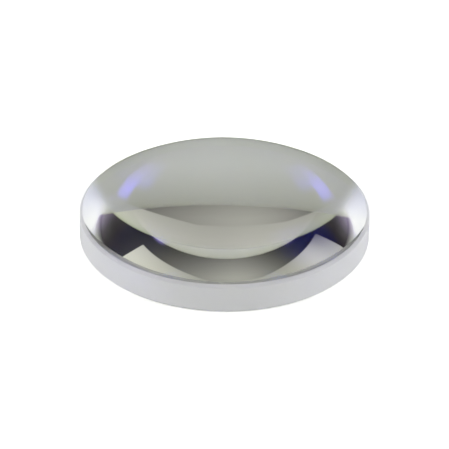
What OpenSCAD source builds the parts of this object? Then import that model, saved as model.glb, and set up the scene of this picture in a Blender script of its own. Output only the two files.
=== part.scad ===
// Plano convex lens: one disc of crown glass with a polished spherical face above,
// a polished flat face below, a fine ground edge and a narrow ground bevel at each rim.
// Units are millimetres and degrees. The origin is the centre of the flat face, and +Z
// runs along the optical axis, out through the convex face.

/* [Optics] */
// Outside diameter of the ground edge
lens_diameter = 30; // [20:0.5:32]
// Focal length of the finished lens
focal_length = 50; // [48:0.5:200]
// Refractive index of the glass (1.5168 is borosilicate crown)
glass_index = 1.5168; // [1.5:0.0001:1.8]
// Thickness at the full diameter, from the flat face to the sphere, before the bevels are cut
edge_thickness = 3; // [2.5:0.1:8]

/* [Bevels] */
// Width of the convex face's protective bevel, measured along the radius
convex_bevel = 0.3; // [0.1:0.05:0.6]
// Width of the flat face's protective bevel, measured along the radius
flat_bevel = 0.3; // [0.1:0.05:0.6]
// Slope of both bevels, measured from the plane of the flat face
bevel_angle = 45; // [45:1:60]

/* [Hidden] */
$fn = 240;

lens_radius = lens_diameter / 2;

// With one face flat, the curved face alone sets the focal length, whatever the thickness.
convex_radius = (glass_index - 1) * focal_length;

// How far the convex face falls away from its vertex at a distance from the axis.
function sagitta(distance) =
    convex_radius - sqrt(convex_radius * convex_radius - distance * distance);

center_thickness = edge_thickness + sagitta(lens_radius);
sphere_center = center_thickness - convex_radius;

// The convex bevel starts on the sphere and runs down to the ground edge.
convex_rim = center_thickness - sagitta(lens_radius - convex_bevel);
edge_top = convex_rim - convex_bevel * tan(bevel_angle);

// The flat bevel starts on the flat face and runs up to the ground edge.
edge_bottom = flat_bevel * tan(bevel_angle);

// The blank as it leaves the edging machine: flat face, bevel, ground edge, and the cone of
// the upper bevel. That cone is steeper than the rim of the sphere, so it passes clear above it.
module edged_blank() {
    cone_tip = edge_top + lens_radius * tan(bevel_angle);
    rotate_extrude()
        polygon([
            [0, 0],
            [lens_radius - flat_bevel, 0],
            [lens_radius, edge_bottom],
            [lens_radius, edge_top],
            [0, cone_tip]
        ]);
}

// The sphere that the convex face is ground and polished to.
module polishing_sphere() {
    translate([0, 0, sphere_center])
        sphere(r = convex_radius);
}

// The finished lens: the sphere cuts the top of the blank down to the convex face.
module lens() {
    color([0.86, 0.90, 0.90])
        intersection() {
            edged_blank();
            polishing_sphere();
        }
}

lens();
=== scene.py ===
# %% [markdown]
# A plano convex lens is one disc of crown glass. Its top is a polished dome, its underside is
# polished flat, and the edge between them is ground matt, with a narrow ground bevel at each
# rim so that the glass doesn't chip. Glass has hardly any looks of its own: what the eye sees
# is the room, bent and folded by the dome and the flat face. So this lesson makes the disc,
# its coated and its ground surfaces, and then the studio that the glass shows.

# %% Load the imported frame
import math
import bpy
import numpy as np
from mathutils import Matrix, Vector


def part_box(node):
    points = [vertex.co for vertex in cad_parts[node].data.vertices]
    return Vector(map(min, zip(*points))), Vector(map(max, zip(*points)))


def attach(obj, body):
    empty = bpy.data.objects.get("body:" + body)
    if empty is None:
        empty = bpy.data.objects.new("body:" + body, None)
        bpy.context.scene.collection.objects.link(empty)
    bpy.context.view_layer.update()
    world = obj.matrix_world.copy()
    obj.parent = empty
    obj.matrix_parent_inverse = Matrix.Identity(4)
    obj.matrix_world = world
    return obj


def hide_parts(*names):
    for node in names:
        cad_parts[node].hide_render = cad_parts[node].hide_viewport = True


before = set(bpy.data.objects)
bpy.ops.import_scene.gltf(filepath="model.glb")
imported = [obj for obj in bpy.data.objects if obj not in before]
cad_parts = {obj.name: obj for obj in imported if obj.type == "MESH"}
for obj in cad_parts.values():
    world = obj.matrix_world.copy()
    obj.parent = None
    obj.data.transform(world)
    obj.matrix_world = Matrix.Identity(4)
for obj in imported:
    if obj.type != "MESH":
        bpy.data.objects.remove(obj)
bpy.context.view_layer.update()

# %% [markdown]
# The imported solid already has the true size, so the sizes come from it: its box gives the
# thickness and the radius, and the focal length and the glass give the dome. With one face
# flat, the curved face alone sets the focal length, so the dome's radius is the focal length
# times (index - 1). The disc's radius is read from the box rather than from the drawing,
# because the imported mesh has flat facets, and the visible disc must stay inside them.

# %% Sizes in metres
MM = 0.001
low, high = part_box("lens")
lens_radius = min(high.x, high.y, -low.x, -low.y)
center_thickness = high.z
glass_index = 1.5168
focal_length = 50 * MM
convex_radius = (glass_index - 1) * focal_length
bevel = 0.3 * MM


def sagitta(distance):
    """Fall of the dome from its top at a distance from the axis: the sphere's radius, less
    the root of that radius squared minus the distance squared."""
    return convex_radius - np.sqrt(convex_radius**2 - distance**2)


rim_radius = lens_radius - bevel
rim_height = center_thickness - float(sagitta(rim_radius))
edge_top = rim_height - bevel
edge_bottom = bevel
print("radius %.3f mm, thickness %.3f mm" % (lens_radius / MM, center_thickness / MM))
print("dome radius %.2f mm, edge %.2f mm" % (convex_radius / MM, (edge_top - edge_bottom) / MM))

# %% [markdown]
# Every surface of the lens is a turned one, so half of its outline, spun round the axis, makes
# all of it. The outline is cut into five stretches: dome, bevel, edge, bevel and flat base.
# A lathe modifier could spin it, but worked out as arrays the mesh has no doubled points and
# each stretch keeps its own finish. The dome gets even steps of angle, not of radius, so its
# facets are all alike, and so fine that refraction through them shows no steps.

# %% Outline of the lens
DOME_RINGS = 72
EDGE_RINGS = 3
BASE_RINGS = 9
DOME_FINISH, BEVEL_FINISH, EDGE_FINISH, BASE_FINISH = 0, 1, 2, 3
slope = np.linspace(0, math.asin(rim_radius / convex_radius), DOME_RINGS + 1)
dome_profile = (
    convex_radius * np.sin(slope),
    center_thickness - convex_radius * (1 - np.cos(slope)),
    DOME_FINISH,
)
top_bevel = (
    np.array([rim_radius, lens_radius]),
    np.array([rim_height, edge_top]),
    BEVEL_FINISH,
)
ground_edge = (
    np.full(EDGE_RINGS, lens_radius),
    np.linspace(edge_top, edge_bottom, EDGE_RINGS),
    EDGE_FINISH,
)
low_bevel = (np.array([lens_radius, rim_radius]), np.array([edge_bottom, 0.0]), BEVEL_FINISH)
flat_base = (np.linspace(rim_radius, 0, BASE_RINGS), np.zeros(BASE_RINGS), BASE_FINISH)
outline = [dome_profile, top_bevel, ground_edge, low_bevel, flat_base]
print("outline points", sum(len(stretch[0]) for stretch in outline))

# %% [markdown]
# Spinning the outline gives rings of points. The rings are joined by four-sided faces, and a
# fan of triangles closes each pole on the axis. Where two stretches meet, the ring of edges is
# marked sharp: the dome then shades smooth right up to the bevel, and the corner stays a
# crisp line, as it is on glass.

# %% Spin the outline
SEGMENTS = 384


def revolve(name, stretches):
    """A closed solid of revolution. A point of the outline at radius r and height h goes to
    (r cos a, r sin a, h) for every angle a. Each stretch is radii, heights and the index of
    its finish, and starts where the last one ended; the first and last radius are zero."""
    radii = np.concatenate([stretches[0][0]] + [s[0][1:] for s in stretches[1:]])
    heights = np.concatenate([stretches[0][1]] + [s[1][1:] for s in stretches[1:]])
    finish = np.concatenate([np.full(len(s[0]) - 1, s[2]) for s in stretches])
    corners = np.cumsum([len(s[0]) - 1 for s in stretches])[:-1]
    angle = np.arange(SEGMENTS) * 2 * np.pi / SEGMENTS
    ring_r, ring_h = radii[1:-1, None], heights[1:-1, None]
    rings = np.stack(
        [ring_r * np.cos(angle), ring_r * np.sin(angle), ring_h + 0 * angle], axis=-1
    )
    verts = np.concatenate([[[0, 0, heights[0]]], rings.reshape(-1, 3), [[0, 0, heights[-1]]]])
    count = len(radii) - 2
    index = 1 + np.arange(count * SEGMENTS).reshape(count, SEGMENTS)
    turned = np.roll(index, -1, axis=1)
    first = np.stack([np.zeros(SEGMENTS, int), index[0], turned[0]], axis=1)
    quads = np.stack([index[:-1], index[1:], turned[1:], turned[:-1]], axis=-1)
    last = np.stack([np.full(SEGMENTS, len(verts) - 1), turned[-1], index[-1]], axis=1)
    faces = first.tolist() + quads.reshape(-1, 4).tolist() + last.tolist()
    mesh = bpy.data.meshes.new(name)
    mesh.from_pydata(verts.tolist(), [], faces)
    mesh.polygons.foreach_set("material_index", np.repeat(finish, SEGMENTS).astype(np.int32))
    mesh.polygons.foreach_set("use_smooth", np.ones(len(mesh.polygons), bool))
    ring_of = np.full(len(verts), -1)
    ring_of[1:-1] = np.repeat(np.arange(1, count + 1), SEGMENTS)
    ends = np.zeros(len(mesh.edges) * 2, np.int32)
    mesh.edges.foreach_get("vertices", ends)
    pair = ring_of[ends.reshape(-1, 2)]
    sharp = (pair[:, 0] == pair[:, 1]) & np.isin(pair[:, 0], corners)
    mesh.attributes.new("sharp_edge", "BOOLEAN", "EDGE").data.foreach_set("value", sharp)
    mesh.update()
    piece = bpy.data.objects.new(name, mesh)
    bpy.context.scene.collection.objects.link(piece)
    return piece


lens = revolve("plano_convex_lens", outline)
print("lens faces", len(lens.data.polygons))

# %% [markdown]
# Materials are sums: a mask times a level, one minus a mask, and so on. Written with nodes by
# hand, each sign is a node and two links. This small class wraps one output socket, and its
# operators add the Math nodes, so a sum reads as a sum. All other nodes come from one method,
# add, which sets a node's settings first, because some settings change its sockets.

# %% Shader maths
class Signal:
    """One output socket of a node tree. Arithmetic on it adds Math nodes to the tree."""

    def __init__(self, tree, socket):
        self.tree = tree
        self.socket = socket

    def math(self, operation, *others, flip=False):
        values = [self, *others]
        if flip:
            values.reverse()
        return self.tree.add("ShaderNodeMath", {"operation": operation}, values)

    def __add__(self, other):
        return self.math("ADD", other)

    def __sub__(self, other):
        return self.math("SUBTRACT", other)

    def __rsub__(self, other):
        return self.math("SUBTRACT", other, flip=True)

    def __mul__(self, other):
        return self.math("MULTIPLY", other)

    def __truediv__(self, other):
        return self.math("DIVIDE", other)

    def __pow__(self, other):
        return self.math("POWER", other)

    def __abs__(self):
        return self.math("ABSOLUTE")

    __radd__ = __add__
    __rmul__ = __mul__


class Tree:
    """The nodes of one material or world."""

    def __init__(self, owner):
        owner.use_nodes = True
        self.nodes = owner.node_tree.nodes
        self.links = owner.node_tree.links
        self.nodes.clear()

    def add(self, kind, settings=None, values=(), output=0):
        """Adds a node of a type, makes its settings, then sets or links its inputs: values
        go to the inputs in order, or by name from a dictionary. Returns one output."""
        node = self.nodes.new(kind)
        for setting, choice in (settings or {}).items():
            setattr(node, setting, choice)
        named = values.items() if isinstance(values, dict) else enumerate(values)
        for key, value in named:
            if isinstance(value, Signal):
                self.links.new(value.socket, node.inputs[key])
            elif value is not None:
                node.inputs[key].default_value = value
        return Signal(self, node.outputs[output]) if node.outputs else node

    def rise(self, value, start, end):
        """A soft step: 0 up to start, 1 from end on, and an S-curve between them."""
        settings = {"interpolation_type": "SMOOTHSTEP"}
        return self.add("ShaderNodeMapRange", settings, [value, start, end, 0.0, 1.0])

    def noise(self, coordinates, size, detail=2.0):
        """A cloudy value from 0 to 1 with features of about size, in metres."""
        values = {"Vector": coordinates, "Scale": 1 / size, "Detail": detail}
        return self.add("ShaderNodeTexNoise", {}, values)

    def stretched(self, coordinates, scale):
        """Coordinates scaled along each axis, so that a pattern on them is drawn out."""
        return self.add("ShaderNodeMapping", {}, {"Vector": coordinates, "Scale": scale})

    def blend(self, factor, first, second):
        """A colour between two colours, by a factor from 0 to 1."""
        values = {"Factor": factor, 6: first, 7: second}
        return self.add("ShaderNodeMix", {"data_type": "RGBA"}, values, output=2)

    def finish(self, shader):
        kind = "ShaderNodeOutputMaterial"
        self.add(kind, {}, {"Surface": shader})


print("shader maths ready")

# %% [markdown]
# The dome and the base are polished and coated. The coating is a film thinner than a wave of
# light. It takes most of the white glare off the glass and leaves a faint violet one, and what
# comes through loses that violet, most where it passes at a slant near the rim. Two things in
# the Principled shader stand for it: a thin film of a low index, and a specular tint that is
# strongest in blue. Total reflection inside the glass has no coating to pass, and stays
# white, which the shader does by itself.
#
# Polished glass isn't quite empty either. The polisher leaves a very slight ripple, and
# wiping leaves a breath of haze towards the rim, where a cloth doesn't reach the corner.

# %% Coated glass
FILM_NANOMETRES = 150.0
FILM_INDEX = 1.3


def coated_glass(name, tint):
    """Polished crown glass under a thin film, with a tint for its glare."""
    material = bpy.data.materials.new(name)
    tree = Tree(material)
    place = tree.add("ShaderNodeTexCoord", output=3)
    flat = tree.stretched(place, (1.0, 1.0, 0.0))
    distance = tree.add("ShaderNodeVectorMath", {"operation": "LENGTH"}, [flat], output=1)
    slant = tree.rise(distance, 0.70 * lens_radius, 1.0 * lens_radius)
    color = tree.blend(slant, (0.985, 0.992, 0.985, 1), (0.975, 0.985, 0.945, 1))
    haze = tree.noise(place, 3.0 * MM, 4.0) * slant
    ripple = tree.noise(place, 1.6 * MM, 1.0)
    bump = tree.add(
        "ShaderNodeBump", {}, {"Strength": 0.02, "Distance": 0.002 * MM, "Height": ripple}
    )
    shader = tree.add(
        "ShaderNodeBsdfPrincipled",
        {},
        {
            "Base Color": color,
            "Roughness": 0.006 * haze,
            "IOR": glass_index,
            "Normal": bump,
            "Transmission Weight": 1.0,
            "Specular Tint": tint,
            "Thin Film Thickness": FILM_NANOMETRES,
            "Thin Film IOR": FILM_INDEX,
        },
    )
    tree.finish(shader)
    return material


dome_glass = coated_glass("dome_glass", (0.5, 0.36, 1.0, 1))
base_glass = coated_glass("base_glass", (0.2, 0.25, 0.95, 1))
print("coated", dome_glass.name, base_glass.name)

# %% [markdown]
# The edge and the bevels are ground with a diamond wheel while the lens turns. That leaves a
# matt, frosted skin: millions of tiny pits, drawn out a little along the direction of turning.
# Light still gets in and out of it, but scattered. Plain rough glass would look dark and
# watery, and plain white paint would look like plastic, so it is a mix of both inside one
# Principled shader: part of the light goes through, and the rest comes back pale. The pits
# are noise on Object coordinates squeezed along the axis, which draws the grain out round
# the edge with no seam. The bevels are ground finer than the edge, so they are a little
# clearer and less matt.

# %% Ground glass
def ground_glass(name, clearness, roughness):
    """Frosted glass with a fine turned grain, as a grinding wheel leaves it."""
    material = bpy.data.materials.new(name)
    tree = Tree(material)
    place = tree.add("ShaderNodeTexCoord", output=3)
    turned = tree.stretched(place, (1.0, 1.0, 6.0))
    grain = tree.noise(turned, 0.35 * MM, 3.0)
    pits = tree.noise(place, 0.09 * MM, 2.0)
    cloud = tree.noise(place, 2.2 * MM, 3.0)
    color = tree.blend(cloud, (0.93, 0.935, 0.945, 1), (0.98, 0.985, 0.985, 1))
    height = 0.5 * grain + 0.5 * pits
    bump = tree.add(
        "ShaderNodeBump", {}, {"Strength": 0.5, "Distance": 0.02 * MM, "Height": height}
    )
    shader = tree.add(
        "ShaderNodeBsdfPrincipled",
        {},
        {
            "Base Color": color,
            "Roughness": roughness + 0.16 * cloud,
            "IOR": glass_index,
            "Normal": bump,
            "Transmission Weight": clearness,
        },
    )
    tree.finish(shader)
    return material


edge_glass = ground_glass("edge_glass", clearness=0.55, roughness=0.56)
bevel_glass = ground_glass("bevel_glass", clearness=0.62, roughness=0.42)
print("ground", edge_glass.name, bevel_glass.name)

# %% [markdown]
# The piece takes its four finishes in the order of the outline's numbers. Then it is tied to
# the frame: it rides on the only body, and it stands for the imported solid, which is hidden.

# %% Dress and tie the lens
for material in (dome_glass, bevel_glass, edge_glass, base_glass):
    lens.data.materials.append(material)
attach(lens, "root")
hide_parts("lens")
print("finishes", [slot.name for slot in lens.material_slots])

# %% [markdown]
# The floor is a sheet of pale paper. It lies a hair below the lens, and that air gap matters:
# glass that touches nothing reflects totally inside its base, which is where the bright folds
# in the dome come from. A plane of four corners is enough, because all that varies on it is
# colour. It is far wider than the lens, so that the glass never shows where it ends.

# %% Floor sheet
AIR_GAP = 0.03 * MM
FLOOR_REACH = 1.5
floor_mesh = bpy.data.meshes.new("paper_floor")
corners = [(-FLOOR_REACH, -FLOOR_REACH, -AIR_GAP), (FLOOR_REACH, -FLOOR_REACH, -AIR_GAP)]
corners += [(FLOOR_REACH, FLOOR_REACH, -AIR_GAP), (-FLOOR_REACH, FLOOR_REACH, -AIR_GAP)]
floor_mesh.from_pydata(corners, [], [(0, 1, 2, 3)])
floor = bpy.data.objects.new("paper_floor", floor_mesh)
bpy.context.scene.collection.objects.link(floor)
print("floor at %.3f mm" % (-AIR_GAP / MM))

# %% [markdown]
# Every part of the floor is placed by two measures, and both are counted in lens radii: how
# far a point is from the axis, and how far it is across and ahead of it. A third one, aside,
# is 0 straight behind the lens and 1 at its sides and in front.

# %% Measures on the floor
DEGREES = 180 / math.pi
paper_material = bpy.data.materials.new("paper")
ground = Tree(paper_material)
place = ground.add("ShaderNodeTexCoord", output=3)
parts = ground.add("ShaderNodeSeparateXYZ", {}, [place]).socket.node.outputs
across, ahead = (Signal(ground, parts[axis]) / lens_radius for axis in (0, 1))
sideways = abs(across)
length = ground.add("ShaderNodeVectorMath", {"operation": "LENGTH"}, [place], output=1)
distance = length / lens_radius
aside = ground.rise(sideways.math("ARCTAN2", ahead) * DEGREES, 44.0, 60.0)
print("floor measures in units of %.2f mm" % (lens_radius / MM))

# %% [markdown]
# The paper is palest near the lens. Under its front half the sheet is painted a shade darker,
# a painted shadow for the light that the ground edge keeps away from there. To the sides the
# paper is painted darker with distance till it is near black, painted shade for light that
# falls off away from the lens, so that the glass has something dark to show at its horizon.
# Straight behind the lens is a greyer lane, a painted shadow of the card that stands there and
# takes the side lights away from it, painted darker and greener still near the lens.

# %% Paper, with painted shade, painted card shadow and painted falloff
# Painted shade: at the sides the paper darkens with distance to near black, as light that falls
# off.
painted_falloff = (1 - (distance / 1.5).math("MAXIMUM", 1.0) ** -1.2) * aside
# Painted shadow of the card: a greyer lane straight behind the lens.
card_shadow_lane = (1 - aside) * ground.rise(distance, 0.9, 1.1)
near = 1 - ground.rise(distance, 1.2, 2.2)
# Painted shade: the paper under the front half of the lens is darker, for light the lens keeps
# away.
painted_lens_shade = 1 - ground.rise(distance, 0.9, 1.1)
painted_lens_shade = painted_lens_shade * (1 - ground.rise(ahead, 0.0, 0.5))
painted_lens_shade = painted_lens_shade * (1 - 0.5 * ground.rise(sideways, 0.5, 0.7))
paper = ground.blend(painted_lens_shade, (0.90, 0.91, 0.86, 1), (0.665, 0.675, 0.635, 1))
# Painted shade: the card's lane is darker and greener near the lens.
card_shadow_color = ground.blend(near, (0.44, 0.44, 0.41, 1), (0.27, 0.285, 0.235, 1))
paper = ground.blend(card_shadow_lane, paper, card_shadow_color)
floor_color = ground.blend(painted_falloff, paper, (0.04, 0.04, 0.04, 1))
print("floor colour from", len(ground.nodes), "nodes")

# %% [markdown]
# A product picture stands on white, and paper under soft light is grey. More lamps would
# bleach the glass, so the floor gets a little light of its own instead, and the Light Path
# node says who sees it. The camera sees all of it, topped up to white.
#
# What is seen through glass is topped up in two places only, and both are painted light. One
# is a painted pool of light under each end of the lens, brightest nearest the middle of the
# ends and a little blue farther back. The other is painted light on the paper beside the
# middle, for rays that were mirrored inside the glass more than once: it paints the white
# sparks at both ends of the dome.

# %% Top up the floor, with painted pools of light and painted sparks
TOP_UP = 0.45
path = ground.add("ShaderNodeLightPath").socket.node.outputs
floor_path = {socket.name: Signal(ground, socket) for socket in path}
for_camera = floor_path["Is Camera Ray"]
for_glass = floor_path["Is Glossy Ray"] + floor_path["Is Transmission Ray"]
for_glass = for_glass.math("MINIMUM", 1.0)
# Painted pool of light: the paper under each end of the lens glows for rays through the glass.
slant = sideways - 0.33 * ahead.math("MAXIMUM", 0.0)
slant = slant - 0.6 * (0.1 - ahead).math("MAXIMUM", 0.0)
farther = ground.rise(ahead, 0.0, 0.4)
painted_light_pool = ground.rise(slant, 0.62, 0.76) * aside * (1 - ground.rise(distance, 1.0, 1.3))
painted_light_pool = painted_light_pool * (1.25 - 0.65 * farther)
# Painted highlights: paper beside the middle glows for rays mirrored more than once, as the
# dome's white sparks.
painted_sparks = floor_path["Glossy Depth"].math("GREATER_THAN", 1.5)
painted_sparks = painted_sparks * ground.rise(sideways, 0.4, 0.47) * (1 - ground.rise(distance, 1.2, 2.6))
under = 1 - ground.rise(distance, 1.0, 1.2)
lit = painted_light_pool.math("MAXIMUM", painted_sparks * (1.05 + 0.5 * under)) * TOP_UP
missing = (1 - TOP_UP) * painted_falloff + (0.3 + 0.2 * near) * card_shadow_lane
glow = for_camera * (TOP_UP + missing) + for_glass * lit
cool_glow = ground.blend(farther * (1 - painted_sparks), (1.0, 1.0, 1.1, 1), (1.0, 1.0, 1.6, 1))
glow_color = ground.blend(for_camera, cool_glow, (1, 1, 1, 1))
print("top-up", TOP_UP)

# %% [markdown]
# Paper has no gloss to speak of, so its specular level is zero. Left on, it would lay a
# second, faint mirror image of the studio under the glass.

# %% Paper material
paper_values = {"Base Color": floor_color, "Roughness": 0.9, "Specular IOR Level": 0.0}
paper_values["Emission Color"] = glow_color
paper_values["Emission Strength"] = glow
ground.finish(ground.add("ShaderNodeBsdfPrincipled", {}, paper_values))
floor_mesh.materials.append(paper_material)
print("paper nodes", len(ground.nodes))

# %% [markdown]
# The studio round the lens is painted on the world, by direction: a bearing from straight
# ahead of the camera, and a height above the horizon, both in degrees. A painted studio needs
# no lamp stands that might block another view. It has what a glass photographer sets up: a
# white card that stands behind the lens in a wide curve, black cloth on both sides of it, a
# soft glow on the wall above the card, and big soft lights at the sides and overhead.

# %% Directions in the studio
world = bpy.data.worlds.new("studio")
bpy.context.scene.world = world
sky = Tree(world)
heading = sky.add("ShaderNodeTexCoord", output=0)
axes = sky.add("ShaderNodeSeparateXYZ", {}, [heading]).socket.node.outputs
east, north, above = (Signal(sky, socket) for socket in axes)
bearing = east.math("ARCTAN2", north) * DEGREES
height = above.math("ARCSINE") * DEGREES
turn = abs(bearing)
on_right = sky.rise(bearing, -5.0, 5.0)


def window(value, start, full, fade, end):
    """1 between full and fade, 0 outside start and end, soft between them."""
    return sky.rise(value, start, full) * (1 - sky.rise(value, fade, end))


print("directions from", len(sky.nodes), "nodes")

# %% [markdown]
# The card is what gives the glass its shape: its sharp ends and its top edge are what the
# dome bends into bows. It reaches about 60 degrees to the left and 48 to the right. Its top
# edge sags in the middle, and rises towards both ends along an exponential curve. The light
# on it is uneven, as it is on a real card: brighter towards the right, with a faint patch
# left of the middle, and a little dimmer up high and at the far left end.

# %% Card behind the lens
CARD_LEFT, CARD_RIGHT, SOFT_END = -60.5, 48.5, 0.3
dip = (-1.0 * turn / (21.0 - 5.6 * on_right)).math("EXPONENT") * (13.3 - 4.1 * on_right)
card_top = (28.3 - dip).math("MAXIMUM", 22.6)
card = window(
    bearing,
    CARD_LEFT - SOFT_END,
    CARD_LEFT + SOFT_END,
    CARD_RIGHT - SOFT_END,
    CARD_RIGHT + SOFT_END,
)
card = card * (1 - sky.rise(height - card_top, -0.5, 0.5))
card_level = 0.40 + 0.03 * window(-1.0 * bearing, -2.0, 8.0, 14.0, 26.0)
card_level = card_level + 0.10 * sky.rise(-1.0 * bearing, 28.0, 46.0)
card_level = card_level + 0.22 * sky.rise(bearing, 4.0, 46.0)
card_level = card_level * (1.07 - 0.0006 * (height - 6.0) ** 2.0)
card_level = card_level * (1 - sky.rise(-1.0 * bearing, 44.0, 62.0) * (0.2 + 0.02 * height))
print("card done,", len(sky.nodes), "nodes")

# %% [markdown]
# Over the card the wall is dark, but for a glow left of the middle that fades like a bell
# curve, more slowly on its right side. It fades with height too. Through the dome it is the
# grey bowl between the two violet crescents.

# %% Glow on the wall above the card
to_right = sky.rise(bearing, -6.0, -4.0)
spread = (abs(bearing + 5.0) / (23.8 + 8.2 * to_right)) ** (2.0 - 0.45 * to_right)
wall = (-1.0 * spread).math("EXPONENT")
wall = wall * 0.345 * (1.92 - 0.033 * height).math("MAXIMUM", 0.0).math("MINIMUM", 1.05)
print("wall done,", len(sky.nodes), "nodes")

# %% [markdown]
# The ground edge needs light from the sides, and the glass must not see the lamps straight
# on. So the two big soft lights start square beside the lens, where no ray from the camera
# ends, and they are cut off before they light up the front. A low strip under each lifts the
# edge. Dusk is the little light that black cloth still gives back, more of it near the
# horizon.

# %% Lights at the sides and overhead
side_light = sky.rise(turn, 90.0, 98.0) * (1 - 0.96 * sky.rise(turn, 106.0, 122.0))
side_light = side_light * window(height, 2.0, 14.0, 50.0, 76.0)
low_light = window(turn, 92.0, 98.0, 104.0, 116.0) * window(height, 0.5, 3.0, 14.0, 24.0)
dusk = sky.rise(turn, 56.0, 92.0) * (1 - 0.7 * sky.rise(height, 0.0, 16.0))
overhead = sky.rise(north * -0.5 + above * 0.87, 0.72, 0.95)
print("lamps done,", len(sky.nodes), "nodes")

# %% [markdown]
# Two cool lamps show what the coating does. High up on each side a corner light falls on the
# steep flank of the dome, and its faint mirror image turns the dark crescents violet. A
# narrow, bright strip lamp makes the two gleams: it is mirrored once by the base and leaves
# through the dome. Shown to every ray, it would be much too bright, so the Light Path node
# lets only those rays see it that were mirrored once and have gone into and out of glass.

# %% Cool lamps
corner_light = window(turn, 38.0, 46.0, 64.0, 84.0) * window(height, 36.0, 43.0, 56.0, 72.0)
corner_light = corner_light * (0.45 + 1.2 * on_right)
strips = window(turn, 31.5, 35.5, 38.5, 42.0) * window(height, 26.0, 46.0, 46.0, 54.0)
faint = window(turn, 23.0, 29.0, 33.0, 38.0) * window(height, 35.0, 42.0, 49.0, 55.0)
path = sky.add("ShaderNodeLightPath").socket.node.outputs
sky_path = {socket.name: Signal(sky, socket) for socket in path}
mirrored_once = sky_path["Glossy Depth"].math("COMPARE", 1.0, 0.5)
passed_through = sky_path["Transmission Depth"].math("GREATER_THAN", 1.5)
strips = (strips + 0.2 * faint) * (22.0 + 6.0 * on_right) * mirrored_once * passed_through
print("cool lamps done,", len(sky.nodes), "nodes")

# %% [markdown]
# A world can add up several Background nodes, so each colour of light gets one: warm for the
# card and the wall, plain for the soft lights, cool for the violet ones. The camera itself
# sees plain white instead of the studio.

# %% Gather the studio
SIDE_LEVEL, LOW_LEVEL, OVERHEAD_LEVEL, DUSK_LEVEL, DARK_LEVEL = 5.9, 12.5, 0.2, 0.20, 0.004
warm = card * card_level + (1 - card) * wall
plain = SIDE_LEVEL * side_light + LOW_LEVEL * low_light + OVERHEAD_LEVEL * overhead
plain = plain + DUSK_LEVEL * dusk + DARK_LEVEL
cool = strips + corner_light + 0.06 * card * sky.rise(-1.0 * bearing, 28.0, 46.0)
warm_part = sky.add("ShaderNodeBackground", {}, [(1, 0.995, 0.91, 1), warm])
plain_part = sky.add("ShaderNodeBackground", {}, [(1, 1, 1, 1), plain])
cool_part = sky.add("ShaderNodeBackground", {}, [(0.42, 0.36, 1, 1), cool])
studio = sky.add("ShaderNodeAddShader", {}, [warm_part, plain_part])
studio = sky.add("ShaderNodeAddShader", {}, [studio, cool_part])
white = sky.add("ShaderNodeBackground", {}, [(1, 1, 1, 1), 1.0])
shown = sky.add("ShaderNodeMixShader", {}, [sky_path["Is Camera Ray"], studio, white])
sky.add("ShaderNodeOutputWorld", {}, {"Surface": shown})
print("world nodes", len(sky.nodes))

# %% [markdown]
# The camera looks down at the lens from 31 degrees above the floor. It stands far off with a
# long lens, about 35 radii away, so the disc keeps its round shape and hardly any perspective
# shows. It is rolled by a little over half a degree, as a hand-levelled tripod is. The three
# axes of the camera are worked out as vectors, and together they are its rotation matrix.

# %% Camera
ELEVATION = math.radians(31.165)
ROLL = math.radians(0.630)
RADII_AWAY = 34.75
PICTURE_WIDTH = 449
PIXELS_PER_RADIUS = 144.718
SENSOR_WIDTH = 36
AIM_BELOW_PIXELS = 0.462
SIGHT_REACH = 10
forward = Vector((0, math.cos(ELEVATION), -math.sin(ELEVATION)))
level_right = Vector((1, 0, 0))
level_up = level_right.cross(forward)
right = level_right * math.cos(ROLL) + level_up * math.sin(ROLL)
up = level_up * math.cos(ROLL) - level_right * math.sin(ROLL)
camera_data = bpy.data.cameras.new("camera")
camera_data.sensor_width = SENSOR_WIDTH
camera_data.lens = SENSOR_WIDTH * RADII_AWAY * PIXELS_PER_RADIUS / PICTURE_WIDTH
camera_data.clip_end = SIGHT_REACH
camera = bpy.data.objects.new("camera", camera_data)
bpy.context.scene.collection.objects.link(camera)
pixel = lens_radius / PIXELS_PER_RADIUS
aim = Vector((0, 0, 0.5 * edge_top)) - up * AIM_BELOW_PIXELS * pixel
turned_axes = Matrix((right, up, -forward)).transposed().to_4x4()
camera.matrix_world = Matrix.Translation(aim - forward * RADII_AWAY * lens_radius) @ turned_axes
bpy.context.scene.camera = camera
bpy.context.scene.view_settings.view_transform = "Standard"
print("camera lens %.1f mm at %.3f m" % (camera_data.lens, RADII_AWAY * lens_radius))
